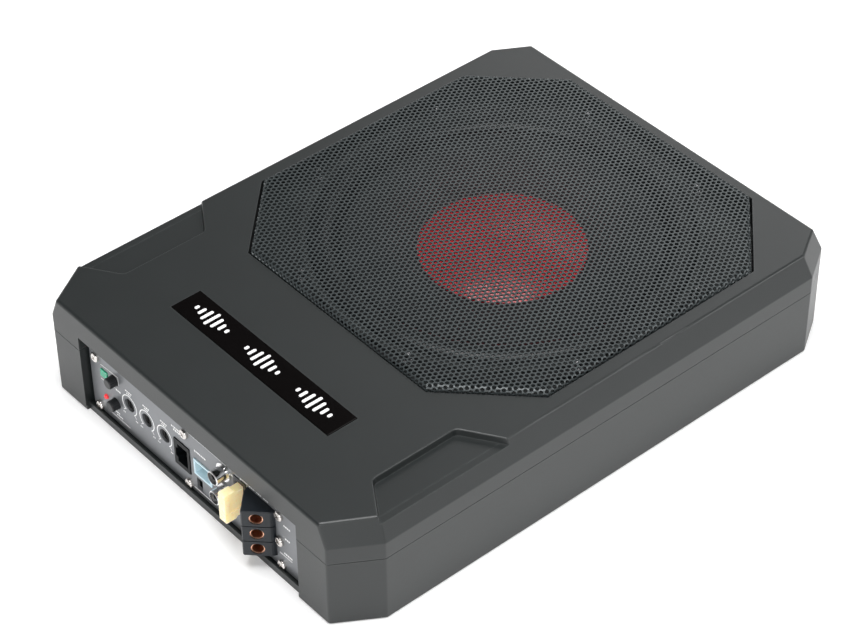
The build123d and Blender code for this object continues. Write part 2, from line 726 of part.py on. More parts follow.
# ---------- control panel ----------
with BuildPart() as control_panel:
    with BuildSketch(panel_plane()):
        with Locations((0, (PANEL_LOW + PANEL_HIGH) / 2)):
            RectangleRounded(2 * PANEL_HALF, PANEL_HIGH - PANEL_LOW, 2.5)
        with Locations(*PANEL_SCREWS):
            Circle(1.6, mode=Mode.SUBTRACT)
        with Locations(POWER_LED):
            RectangleRounded(6.2, 5.2, 0.4, mode=Mode.SUBTRACT)
        with Locations(PROTECT_LED):
            Circle(1.65, mode=Mode.SUBTRACT)
        with Locations(*BUTTONS.values()):
            Circle(BUTTON_R + 0.4, mode=Mode.SUBTRACT)
        with Locations(*KNOBS.values()):
            Circle(KNOB_HOLE_R, mode=Mode.SUBTRACT)
        for box, gap in ((RJ_BOX, 0.2), (HEADER_BOX, 0.2), (LATCH_SLOT, 0.0), (HOLDER_BOX, 0.2)):
            with Locations(box_centre(*box)):
                RectangleRounded(box[2] + 2 * gap, box[3] + 2 * gap, 0.5, mode=Mode.SUBTRACT)
        with Locations(*[(RCA_X, z) for z in RCA_Z]):
            Circle(5.0, mode=Mode.SUBTRACT)
        with Locations((BLOCK_MID, (BLOCK_LOW + BLOCK_HIGH) / 2)):
            Rectangle(BLOCK_RIGHT - BLOCK_LEFT - 1.6, BLOCK_HIGH - BLOCK_LOW - 1.6, mode=Mode.SUBTRACT)
    extrude(amount=-PANEL_T)
save(control_panel, "control_panel")

with BuildPart() as panel_screws:
    with BuildSketch(panel_plane(0.05)):
        with Locations(*PANEL_SCREWS):
            Circle(PANEL_HEAD_R)
    extrude(amount=PANEL_HEAD_T)
    fillet(panel_screws.faces().group_by(Axis.Y)[0].edges(), PANEL_HEAD_T / 2)
    with BuildSketch(panel_plane(0.1)):
        with Locations(*PANEL_SCREWS):
            Circle(1.3)
    extrude(amount=-8.6)
    with BuildSketch(panel_plane(2.0)):
        with Locations(*PANEL_SCREWS):
            Rectangle(2.8, 0.6, rotation=45)
            Rectangle(2.8, 0.6, rotation=-45)
    extrude(amount=-1.2, mode=Mode.SUBTRACT)
save(panel_screws, "panel_screws")

with BuildPart() as power_led:
    with BuildSketch(panel_plane(0.6)):
        with Locations(POWER_LED):
            RectangleRounded(5.9, 4.9, 0.5)
    extrude(amount=-6.0)
    with BuildSketch(panel_plane(-5.0)):
        with Locations((POWER_LED[0] - 1.27, POWER_LED[1]), (POWER_LED[0] + 1.27, POWER_LED[1])):
            Rectangle(0.5, 0.5)
    extrude(amount=-(CONTROL_BOARD_Y - PANEL_Y - 5.1))
save(power_led, "power_led")

with BuildPart() as protect_led:
    with BuildSketch(panel_plane(-6.0)):
        with Locations(PROTECT_LED):
            Circle(1.5)
    extrude(amount=7.4)
    fillet(protect_led.faces().sort_by(Axis.Y)[0].edges(), 1.3)
    with BuildSketch(panel_plane(-5.5)):
        with Locations((PROTECT_LED[0] - 0.8, PROTECT_LED[1]), (PROTECT_LED[0] + 0.8, PROTECT_LED[1])):
            Rectangle(0.5, 0.5)
    extrude(amount=-(CONTROL_BOARD_Y - PANEL_Y - 5.6))
save(protect_led, "protect_led")

SWITCH_FRONT = 4.5  # behind the panel face
for name, (x, z) in BUTTONS.items():
    with BuildPart() as button:
        with BuildSketch(panel_plane(BUTTON_OUT)):
            with Locations((x, z)):
                Circle(BUTTON_R)
        extrude(amount=-(BUTTON_OUT + SWITCH_FRONT - BUTTON_TRAVEL - 0.3))
        fillet(button.faces().sort_by(Axis.Y)[0].edges(), 0.8)
        with BuildSketch(panel_plane(BUTTON_OUT)):
            with Locations((x, z)):
                with PolarLocations(BUTTON_R + 0.15, 12):
                    Circle(0.4)
        extrude(amount=-4.0, mode=Mode.SUBTRACT)
        with BuildSketch(panel_plane()):
            with Locations((x, z)):
                Circle(1.2)
        extrude(amount=-8.0)
    save(button, f"{name}_button")

with BuildPart() as switch_bodies:
    with BuildSketch(panel_plane(-SWITCH_FRONT)):
        with Locations(*BUTTONS.values()):
            RectangleRounded(7.4, 7.4, 0.6)
    extrude(amount=-(CONTROL_BOARD_Y - PANEL_Y - SWITCH_FRONT - 0.1))
    with BuildSketch(panel_plane(-SWITCH_FRONT)):
        with Locations(*BUTTONS.values()):
            Circle(1.27)
    extrude(amount=-6.5, mode=Mode.SUBTRACT)
save(switch_bodies, "switch_bodies")

for name, (x, z) in KNOBS.items():
    with BuildPart() as knob:
        with BuildSketch(panel_plane(-0.8)):
            with Locations((x, z)):
                Circle(KNOB_R)
        extrude(amount=-3.4)
        chamfer(knob.faces().sort_by(Axis.Y)[0].edges(), 0.4)
        with BuildSketch(panel_plane(-0.8)):
            with Locations((x, z)):
                Rectangle(1.0, 2 * KNOB_R + 1)
        extrude(amount=-1.2, mode=Mode.SUBTRACT)
        with BuildSketch(panel_plane(-2.0)):
            with Locations((x, z)):
                Circle(1.45)
        extrude(amount=-8.0)
    save(knob, f"{name}_knob")

with BuildPart() as pot_bodies:
    with BuildSketch(panel_plane(-SWITCH_FRONT)):
        with Locations(*KNOBS.values()):
            RectangleRounded(10.0, 11.0, 0.8)
    extrude(amount=-(CONTROL_BOARD_Y - PANEL_Y - SWITCH_FRONT - 0.1))
    with BuildSketch(panel_plane(-SWITCH_FRONT)):
        with Locations(*KNOBS.values()):
            Circle(1.5)
    extrude(amount=-6.2, mode=Mode.SUBTRACT)
save(pot_bodies, "pot_bodies")

RJ_MID = box_centre(*RJ_BOX)
with BuildPart() as remote_jack:
    with BuildSketch(panel_plane(0.5)):
        with Locations(RJ_MID):
            RectangleRounded(RJ_BOX[2], RJ_BOX[3], 0.6)
    extrude(amount=-17.5)
    with BuildSketch(panel_plane(0.5)):
        with Locations((RJ_MID[0] + 0.6, RJ_MID[1])):
            Rectangle(8.2, 12.2)
        with Locations((RJ_MID[0] - 4.0, RJ_MID[1])):
            Rectangle(2.4, 6.2)
    extrude(amount=-13.0, mode=Mode.SUBTRACT)
    with Locations(*[(RJ_MID[0] + dx, PANEL_Y + 14.0, (BOARD_TOP + RJ_BOX[1]) / 2 + 0.1) for dx in (-4, 4)]):
        Box(1.2, 1.2, RJ_BOX[1] - BOARD_TOP)
save(remote_jack, "remote_jack")

with BuildPart() as jack_contacts:
    with Locations(*[(RJ_MID[0] + 4.0, PANEL_Y + 8.5, RJ_MID[1] + 1.27 * (i - 2.5)) for i in range(6)]):
        Box(0.8, 7.0, 0.5)
save(jack_contacts, "jack_contacts")

HEADER_MID = box_centre(*HEADER_BOX)
with BuildPart() as high_level_header:
    with BuildSketch(panel_plane(0.6)):
        with Locations(HEADER_MID):
            RectangleRounded(HEADER_BOX[2], HEADER_BOX[3], 0.5)
    extrude(amount=-14.0)
    with BuildSketch(panel_plane(0.6)):
        with Locations(HEADER_MID):
            Rectangle(HEADER_BOX[2] - 2.4, HEADER_BOX[3] - 2.4)
    extrude(amount=-9.5, mode=Mode.SUBTRACT)
    foot_z = (BOARD_TOP + HEADER_BOX[1]) / 2 + 0.1
    with Locations(*[(HEADER_MID[0] + dx, PANEL_Y + 12.5, foot_z) for dx in (-5, 5)]):
        Box(1.2, 1.2, HEADER_BOX[1] - BOARD_TOP)
save(high_level_header, "high_level_header")

with BuildPart() as header_pins:
    with BuildSketch(panel_plane(-8.85)):
        with Locations(HEADER_MID):
            with GridLocations(3.0, 4.2, 4, 2):
                Rectangle(0.8, 0.8)
    extrude(amount=4.2)
save(header_pins, "header_pins")

with BuildPart() as rca_housing:
    with BuildSketch(panel_plane(-PANEL_T - 0.1)):
        with Locations((RCA_X, sum(RCA_Z) / 2)):
            RectangleRounded(13.0, 27.4, 0.8)
    extrude(amount=-13.0)
    with BuildSketch(panel_plane()):
        with Locations(*[(RCA_X, z) for z in RCA_Z]):
            Circle(4.9)
    extrude(amount=-3.0)
    with BuildSketch(panel_plane()):
        with Locations(*[(RCA_X, z) for z in RCA_Z]):
            Circle(RCA_R + 0.05)
    extrude(amount=-11.0, mode=Mode.SUBTRACT)
    with Locations(*[(RCA_X + dx, PANEL_Y + 13.0, (BOARD_TOP + 16.8) / 2 + 0.1) for dx in (-4, 4)]):
        Box(1.2, 1.2, 16.8 - BOARD_TOP)
save(rca_housing, "rca_housing")

with BuildPart() as rca_sleeves:
    with BuildSketch(panel_plane(RCA_OUT)):
        with Locations(*[(RCA_X, z) for z in RCA_Z]):
            Circle(RCA_R)
    extrude(amount=-(RCA_OUT + 9.0))
    with BuildSketch(panel_plane(0.1)):
        with Locations(*[(RCA_X, z) for z in RCA_Z]):
            Circle(5.5)
    extrude(amount=1.0)
    chamfer(rca_sleeves.faces().group_by(Axis.Y)[0].edges(), 0.4)
    with BuildSketch(panel_plane(RCA_OUT)):
        with Locations(*[(RCA_X, z) for z in RCA_Z]):
            Circle(RCA_R - 0.6)
    extrude(amount=-(RCA_OUT + 9.0), mode=Mode.SUBTRACT)
save(rca_sleeves, "rca_sleeves")

with BuildPart() as rca_insulators:
    with BuildSketch(panel_plane(RCA_OUT - 1.2)):
        with Locations(*[(RCA_X, z) for z in RCA_Z]):
            Circle(RCA_R - 0.65)
            Circle(1.65, mode=Mode.SUBTRACT)
    extrude(amount=-15.0)
save(rca_insulators, "rca_insulators")

FUSE_MID = box_centre(*FUSE_BOX)
HOLDER_MID = box_centre(*HOLDER_BOX)
FUSE_SEAT = 1.6  # the fuse body sits this deep behind the panel face
with BuildPart() as fuse_holder:
    with BuildSketch(panel_plane(0.4)):
        with Locations(HOLDER_MID):
            RectangleRounded(HOLDER_BOX[2], HOLDER_BOX[3], 0.6)
    extrude(amount=-15.0)
    with BuildSketch(panel_plane(0.4)):
        with Locations(FUSE_MID):
            Rectangle(FUSE_BOX[2] + 0.6, FUSE_BOX[3] + 0.6)
    extrude(amount=-(FUSE_SEAT + 0.8), mode=Mode.SUBTRACT)
    with BuildSketch(panel_plane(-FUSE_SEAT)):
        with Locations((FUSE_MID[0], FUSE_MID[1] - 5.0), (FUSE_MID[0], FUSE_MID[1] + 5.0)):
            Rectangle(1.3, 5.8)
    extrude(amount=-11.0, mode=Mode.SUBTRACT)
    with Locations(*[(HOLDER_MID[0] + dx, PANEL_Y + 13.5, (BOARD_TOP + 16.6) / 2 + 0.1) for dx in (-3, 3)]):
        Box(1.2, 1.2, 16.6 - BOARD_TOP)
save(fuse_holder, "fuse_holder")

with BuildPart() as fuse:
    with BuildSketch(Plane.YZ.offset(FUSE_BOX[0])):
        low = FUSE_BOX[1]
        high = FUSE_BOX[1] + FUSE_BOX[3]
        outer = PANEL_Y - FUSE_OUT
        inner = PANEL_Y + FUSE_SEAT
        Polygon(
            (outer, low + 0.6),
            (outer + 0.6, low),
            (outer + 6.5, low),
            (outer + 7.6, low + 1.2),
            (inner, low + 1.2),
            (inner, high - 1.2),
            (outer + 7.6, high - 1.2),
            (outer + 6.5, high),
            (outer + 0.6, high),
            (outer, high - 0.6),
            align=None,
        )
    extrude(amount=FUSE_BOX[2])
    # moulded waists in both flat sides
    with BuildSketch(panel_plane(FUSE_OUT - 3.0)):
        for side in (-1, 1):
            with Locations((FUSE_MID[0] + side * FUSE_BOX[2] / 2, FUSE_MID[1])):
                Rectangle(1.2, 8.0)
    extrude(amount=-12, mode=Mode.SUBTRACT)
save(fuse, "fuse")

with BuildPart() as fuse_blades:
    with BuildSketch(panel_plane(-FUSE_SEAT - 0.05)):
        with Locations((FUSE_MID[0], FUSE_MID[1] - 5.0), (FUSE_MID[0], FUSE_MID[1] + 5.0)):
            Rectangle(0.7, 5.2)
    extrude(amount=-7.0)
save(fuse_blades, "fuse_blades")

with BuildPart() as terminal_block:
    with BuildSketch(Plane.XY.offset(BLOCK_LOW)):
        Polygon(*wedge_outline(), align=None)
    extrude(amount=BLOCK_HIGH - BLOCK_LOW)
    chamfer(terminal_block.edges().filter_by(Axis.Z).sort_by(Axis.Y)[:3], 0.7)
    ends = terminal_block.faces().filter_by(Axis.Z)
    chamfer(ends.edges().filter_by(lambda e: e.center().Y < PANEL_Y - 1), 0.5)
    with BuildSketch(Plane.XY.offset(BLOCK_LOW + 1.0)):
        with Locations((BLOCK_MID, (PANEL_Y + BLOCK_BACK) / 2)):
            Rectangle(BLOCK_RIGHT - BLOCK_LEFT - 2.4, BLOCK_BACK - PANEL_Y)
    extrude(amount=BLOCK_HIGH - BLOCK_LOW - 2.0)
    # grooves where the three sections meet
    for index in (1, 2):
        with BuildSketch(Plane.XY.offset(BLOCK_LOW + LAYER * index - 0.25)):
            Polygon(*wedge_outline(1.0), align=None)
            Polygon(*wedge_outline(-0.5), align=None, mode=Mode.SUBTRACT)
        extrude(amount=0.5, mode=Mode.SUBTRACT)
    for z in LAYER_Z:
        with BuildSketch(wire_plane(z, 0.5)):
            Circle(MOUTH_R)
        extrude(amount=-2.2, mode=Mode.SUBTRACT)
        with BuildSketch(wire_plane(z, -1.5)):
            with Locations((-0.6, 0)):
                Rectangle(2 * BRASS_HALF + 1.4, 2 * BRASS_HALF + 0.1)
        extrude(amount=-12.1, mode=Mode.SUBTRACT)
        with BuildSketch(clamp_plane(z, 0.5)):
            Circle(2.3)
        extrude(amount=-4.0, mode=Mode.SUBTRACT)
save(terminal_block, "terminal_block")

with BuildPart() as brass_clamps:
    for z in LAYER_Z:
        with BuildSketch(wire_plane(z, -1.55)):
            with Locations((-0.6, 0)):
                Rectangle(2 * BRASS_HALF + 1.3, 2 * BRASS_HALF)
        extrude(amount=-12.0)
        with BuildSketch(wire_plane(z, -0.6)):
            Circle(MOUTH_R - 0.05)
        extrude(amount=-1.5)
    for z in LAYER_Z:
        with BuildSketch(wire_plane(z)):
            Circle(WIRE_R)
        extrude(amount=-20.0, mode=Mode.SUBTRACT)
        with BuildSketch(clamp_plane(z)):
            Circle(SCREW_R + 0.06)
        extrude(amount=-AXIS_DEPTH, mode=Mode.SUBTRACT)
save(brass_clamps, "brass_clamps")

PAD_T = 0.8
PAD_FRONT = AXIS_DEPTH - WIRE_R - 0.25  # depth of the pad's working face when the clamp is open
SCREW_LEN = 3.3
for index, z in enumerate(LAYER_Z, start=1):
    with BuildPart() as pad:
        with BuildSketch(clamp_plane(z, -PAD_FRONT)):
            Circle(SCREW_R - 0.05)
        extrude(amount=PAD_T)
    save(pad, f"clamp_pad_{index}")
    with BuildPart() as screw:
        with BuildSketch(clamp_plane(z, -(PAD_FRONT - PAD_T - 0.05))):
            Circle(SCREW_R)
        extrude(amount=SCREW_LEN)
        with BuildSketch(clamp_plane(z, -(PAD_FRONT - PAD_T - 0.05 - SCREW_LEN))):
            Rectangle(0.8, 5.0)
        extrude(amount=-1.1, mode=Mode.SUBTRACT)
    save(screw, f"clamp_screw_{index}")
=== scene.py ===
import math

import bpy
import numpy as np
from mathutils import Matrix, Vector


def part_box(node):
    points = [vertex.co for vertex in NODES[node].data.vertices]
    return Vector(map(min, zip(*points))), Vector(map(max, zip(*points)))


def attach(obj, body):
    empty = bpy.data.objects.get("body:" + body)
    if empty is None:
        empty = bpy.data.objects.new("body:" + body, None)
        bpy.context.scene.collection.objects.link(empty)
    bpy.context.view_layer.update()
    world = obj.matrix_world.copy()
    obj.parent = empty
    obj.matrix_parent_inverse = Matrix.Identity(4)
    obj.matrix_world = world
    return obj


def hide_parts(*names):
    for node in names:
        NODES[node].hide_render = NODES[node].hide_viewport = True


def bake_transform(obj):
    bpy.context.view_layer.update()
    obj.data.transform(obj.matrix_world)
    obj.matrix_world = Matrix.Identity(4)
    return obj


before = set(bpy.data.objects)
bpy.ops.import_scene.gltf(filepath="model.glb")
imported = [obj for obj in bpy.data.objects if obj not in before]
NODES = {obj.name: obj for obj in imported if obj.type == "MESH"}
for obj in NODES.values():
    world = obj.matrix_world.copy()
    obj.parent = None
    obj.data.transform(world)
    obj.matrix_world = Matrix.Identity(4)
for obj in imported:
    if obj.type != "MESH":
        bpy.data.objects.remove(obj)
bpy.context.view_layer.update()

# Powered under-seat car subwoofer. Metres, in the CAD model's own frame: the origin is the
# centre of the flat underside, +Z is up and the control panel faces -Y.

MM = 0.001
CHASSIS = "chassis"


# ---------- camera and stage ----------
VIEW_ANGLES = (49.7, 41.44, -0.64)  # azimuth, elevation and roll in degrees
VIEW_SHIFT = (-0.00986, 0.01735)  # along the picture's right and up
VIEW_DISTANCE = 1.49194
LENS_MM = 115.98
FLOOR_HALF = 9.0
FLOOR_DROP = 0.2 * MM  # keeps the floor clear of the underside
FLOOR_GLOW = 0.14


def make_camera():
    """A long lens above the front right corner."""
    azimuth, elevation, roll = (math.radians(v) for v in VIEW_ANGLES)
    back = Vector(
        (
            math.sin(azimuth) * math.cos(elevation),
            -math.cos(azimuth) * math.cos(elevation),
            math.sin(elevation),
        )
    )
    level = Vector((math.cos(azimuth), math.sin(azimuth), 0.0))
    upright = back.cross(level)
    right = math.cos(roll) * level + math.sin(roll) * upright
    up = math.cos(roll) * upright - math.sin(roll) * level
    place = VIEW_SHIFT[0] * right + VIEW_SHIFT[1] * up + VIEW_DISTANCE * back
    data = bpy.data.cameras.new("camera")
    data.sensor_width = 36.0
    data.lens = LENS_MM
    data.clip_end = 50.0
    camera = bpy.data.objects.new("camera", data)
    bpy.context.collection.objects.link(camera)
    turn = Matrix((right, up, back)).transposed()
    camera.matrix_world = Matrix.Translation(place) @ turn.to_4x4()
    bpy.context.scene.camera = camera


def make_floor():
    """A flat pale floor that glows a little."""
    size = FLOOR_HALF
    corners = [(-size, -size, 0), (size, -size, 0), (size, size, 0), (-size, size, 0)]
    data = bpy.data.meshes.new("studio_floor")
    data.from_pydata(corners, [], [(0, 1, 2, 3)])
    floor = bpy.data.objects.new("studio_floor", data)
    floor.location.z = -FLOOR_DROP
    bpy.context.collection.objects.link(floor)
    material = bpy.data.materials.new("studio_floor")
    material.use_nodes = True
    shader = material.node_tree.nodes["Principled BSDF"]
    shader.inputs["Base Color"].default_value = (0.96, 0.96, 0.96, 1)
    shader.inputs["Emission Color"].default_value = (1, 1, 1, 1)
    shader.inputs["Emission Strength"].default_value = FLOOR_GLOW
    shader.inputs["Roughness"].default_value = 0.9
    shader.inputs["Specular IOR Level"].default_value = 0.0
    floor.data.materials.append(material)


def add_light(name, place, aim, size, power, colour=(1.0, 1.0, 1.0)):
    """One soft rectangular studio light."""
    data = bpy.data.lights.new(name, "AREA")
    data.shape = "RECTANGLE"
    data.size, data.size_y = size
    data.energy = power
    data.color = colour
    light = bpy.data.objects.new(name, data)
    light.location = place
    light.rotation_euler = (Vector(aim) - Vector(place)).to_track_quat("-Z", "Y").to_euler()
    bpy.context.collection.objects.link(light)


def make_light():
    """Pale walls under a dim ceiling, with soft boxes overhead and around the object."""
    world = bpy.data.worlds.new("studio")
    world.use_nodes = True
    tree = world.node_tree
    direction = tree.nodes.new("ShaderNodeTexCoord")
    split = tree.nodes.new("ShaderNodeSeparateXYZ")
    fade = tree.nodes.new("ShaderNodeMapRange")
    fade.inputs["From Min"].default_value = 0.05
    fade.inputs["From Max"].default_value = 0.6
    fade.inputs["To Min"].default_value = 0.82
    fade.inputs["To Max"].default_value = 0.10
    tree.links.new(direction.outputs["Generated"], split.inputs["Vector"])
    tree.links.new(split.outputs["Z"], fade.inputs["Value"])
    tree.links.new(fade.outputs["Result"], tree.nodes["Background"].inputs["Strength"])
    tree.nodes["Background"].inputs["Color"].default_value = (1.0, 1.0, 1.0, 1)
    bpy.context.scene.world = world
    bpy.context.scene.view_settings.view_transform = "Standard"
    add_light("top_box", (0.15, -0.15, 1.7), (0, 0, 0), (1.1, 1.1), 31)
    add_light("back_box", (-0.75, 1.4, 1.1), (0, 0, 0), (1.3, 0.6), 6.5)
    add_light("front_box", (0.9, -1.1, 0.7), (0, 0, 0), (0.9, 0.6), 8)
    add_light("side_box", (1.2, 1.0, 0.9), (0, 0, 0), (0.9, 0.6), 9)


# ---------- materials ----------
class Shader:
    """Small helper that wires one procedural material."""

    def __init__(self, name):
        self.material = bpy.data.materials.new(name)
        self.material.use_nodes = True
        self.tree = self.material.node_tree
        self.bsdf = self.tree.nodes["Principled BSDF"]
        self.coords = self.tree.nodes.new("ShaderNodeTexCoord").outputs["Object"]

    def node(self, kind, **values):
        made = self.tree.nodes.new(kind)
        for key, value in values.items():
            setattr(made, key, value)
        return made

    def link(self, out, into):
        self.tree.links.new(out, into)

    def noise(self, size, detail=3.0, rough=0.5, stretch=None):
        """Noise whose features are about size metres across."""
        made = self.node("ShaderNodeTexNoise")
        made.inputs["Scale"].default_value = 1.0 / size
        made.inputs["Detail"].default_value = detail
        made.inputs["Roughness"].default_value = rough
        source = self.coords
        if stretch:
            mapping = self.node("ShaderNodeMapping")
            mapping.inputs["Scale"].default_value = stretch
            self.link(self.coords, mapping.inputs["Vector"])
            source = mapping.outputs["Vector"]
        self.link(source, made.inputs["Vector"])
        return made.outputs["Fac"]

    def ramp(self, source, low, high, start=0.3, end=0.7):
        """Colour that runs from low to high as source goes from start to end."""
        made = self.node("ShaderNodeValToRGB")
        made.color_ramp.elements[0].position = start
        made.color_ramp.elements[1].position = end
        made.color_ramp.elements[0].color = (*low, 1)
        made.color_ramp.elements[1].color = (*high, 1)
        self.link(source, made.inputs["Fac"])
        return made.outputs["Color"]

    def span(self, source, low, high):
        """Number that runs from low to high as source goes from 0.25 to 0.75."""
        made = self.node("ShaderNodeMapRange")
        made.inputs["From Min"].default_value = 0.25
        made.inputs["From Max"].default_value = 0.75
        made.inputs["To Min"].default_value = low
        made.inputs["To Max"].default_value = high
        self.link(source, made.inputs["Value"])
        return made.outputs["Result"]

    def bump(self, source, height, strength=1.0, base=None):
        """Surface relief of the given height in metres."""
        made = self.node("ShaderNodeBump")
        made.inputs["Distance"].default_value = height
        made.inputs["Strength"].default_value = strength
        self.link(source, made.inputs["Height"])
        if base is not None:
            self.link(base, made.inputs["Normal"])
        return made.outputs["Normal"]

    def worn(self, base, edge, radius=0.0012):
        """Colour that turns toward edge along convex edges, in uneven patches."""
        bevel = self.node("ShaderNodeBevel", samples=4)
        bevel.inputs["Radius"].default_value = radius
        facing = self.node("ShaderNodeVectorMath", operation="DOT_PRODUCT")
        self.link(bevel.outputs["Normal"], facing.inputs[0])
        self.link(self.node("ShaderNodeNewGeometry").outputs["Normal"], facing.inputs[1])
        amount = self.node("ShaderNodeMapRange")
        amount.inputs["From Min"].default_value = 0.995
        amount.inputs["From Max"].default_value = 0.93
        self.link(facing.outputs["Value"], amount.inputs["Value"])
        patches = self.node("ShaderNodeMath", operation="MULTIPLY")
        self.link(amount.outputs["Result"], patches.inputs[0])
        self.link(self.span(self.noise(0.008, 4.0, 0.7), 0.1, 0.8), patches.inputs[1])
        mix = self.node("ShaderNodeMix", data_type="RGBA")
        self.link(patches.outputs["Value"], mix.inputs["Factor"])
        self.link(base, mix.inputs["A"])
        mix.inputs["B"].default_value = (*edge, 1)
        return mix.outputs["Result"]

    def set(self, **values):
        """Uniform values, straight on the shader's sockets."""
        for key, value in values.items():
            self.bsdf.inputs[key.replace("_", " ")].default_value = value


def tint(colour, factor):
    """Colour made lighter or darker."""
    return tuple(min(1.0, c * factor) for c in colour)


def plain(name, colour, rough, metal=0.0, grain=0.0004, relief=0.00001, vary=0.12, rough_vary=0.06, **extra):
    """A moulded, painted or plated surface with fine grain and slight unevenness."""
    shader = Shader(name)
    wide = shader.noise(0.02, 4.0, 0.6)
    fine = shader.noise(grain, 3.0, 0.6)
    shader.link(
        shader.ramp(wide, tint(colour, 1 - vary), tint(colour, 1 + vary)),
        shader.bsdf.inputs["Base Color"],
    )
    shader.link(
        shader.span(fine, max(0.02, rough - rough_vary), min(1.0, rough + rough_vary)),
        shader.bsdf.inputs["Roughness"],
    )
    shader.link(shader.bump(fine, relief), shader.bsdf.inputs["Normal"])
    shader.set(Metallic=metal, **extra)
    return shader.material


def case_coat():
    """Satin charcoal coat: fine orange-peel texture over a slight mottling."""
    shader = Shader("case_coat")
    colour = (0.0092, 0.0118, 0.0120)
    mottle = shader.noise(0.035, 5.0, 0.6)
    grain = shader.noise(0.00035, 2.0, 0.6)
    peel = shader.noise(0.0016, 2.0, 0.5)
    base = shader.ramp(mottle, tint(colour, 0.92), tint(colour, 1.08))
    shader.link(shader.worn(base, (0.05, 0.055, 0.055)), shader.bsdf.inputs["Base Color"])
    shader.link(shader.span(grain, 0.34, 0.44), shader.bsdf.inputs["Roughness"])
    shader.set(IOR=1.54)
    soft = shader.bump(peel, 0.000012)
    shader.link(shader.bump(grain, 0.000008, 0.8, soft), shader.bsdf.inputs["Normal"])
    return shader.material


def brushed(name, colour, rough, along=(1, 1, 1)):
    """Metal with fine drawn lines."""
    shader = Shader(name)
    lines = shader.noise(0.0005, 4.0, 0.6, stretch=along)
    shader.link(
        shader.ramp(lines, tint(colour, 0.85), tint(colour, 1.1)),
        shader.bsdf.inputs["Base Color"],
    )
    shader.link(shader.span(lines, rough * 0.8, rough * 1.25), shader.bsdf.inputs["Roughness"])
    shader.link(shader.bump(lines, 0.000006), shader.bsdf.inputs["Normal"])
    shader.set(Metallic=1.0)
    return shader.material


def cone_pulp():
    """Pressed paper pulp with fine fibre marks."""
    shader = Shader("cone_pulp")
    fibre = shader.noise(0.0012, 5.0, 0.7)
    shader.link(
        shader.ramp(fibre, (0.004, 0.005, 0.006), (0.014, 0.016, 0.018)),
        shader.bsdf.inputs["Base Color"],
    )
    shader.link(shader.span(fibre, 0.45, 0.7), shader.bsdf.inputs["Roughness"])
    shader.link(shader.bump(fibre, 0.00008), shader.bsdf.inputs["Normal"])
    return shader.material


def glossy_cap():
    """Deep red lacquered dust cap."""
    shader = Shader("cap_red")
    wide = shader.noise(0.03, 3.0, 0.5)
    shader.link(shader.ramp(wide, (0.62, 0.02, 0.03), (0.74, 0.03, 0.045)), shader.bsdf.inputs["Base Color"])
    shader.link(shader.span(shader.noise(0.0008), 0.26, 0.36), shader.bsdf.inputs["Roughness"])
    shader.link(shader.bump(shader.noise(0.0011, 2.0), 0.000006), shader.bsdf.inputs["Normal"])
    shader.set(Coat_Weight=0.25, Coat_Roughness=0.06)
    return shader.material


def tinted(name, colour, rough=0.2, see_through=0.5, glow=0.0):
    """Clear coloured plastic."""
    shader = Shader(name)
    cloud = shader.noise(0.002, 3.0)
    shader.link(shader.ramp(cloud, tint(colour, 0.85), tint(colour, 1.1)), shader.bsdf.inputs["Base Color"])
    shader.link(shader.span(cloud, rough * 0.7, rough * 1.3), shader.bsdf.inputs["Roughness"])
    shader.link(shader.bump(cloud, 0.00001), shader.bsdf.inputs["Normal"])
    shader.set(Transmission_Weight=see_through, IOR=1.49)
    if glow:
        shader.bsdf.inputs["Emission Color"].default_value = (*colour, 1)
        shader.set(Emission_Strength=glow)
    return shader.material


def woven(name, low, high, pitch):
    """Impregnated cloth."""
    shader = Shader(name)
    weave = shader.node("ShaderNodeTexChecker")
    weave.inputs["Scale"].default_value = 1.0 / pitch
    shader.link(shader.coords, weave.inputs["Vector"])
    shader.link(shader.ramp(weave.outputs["Fac"], low, high, 0.0, 1.0), shader.bsdf.inputs["Base Color"])
    shader.link(shader.bump(weave.outputs["Fac"], 0.00012), shader.bsdf.inputs["Normal"])
    shader.set(Roughness=0.85)
    return shader.material


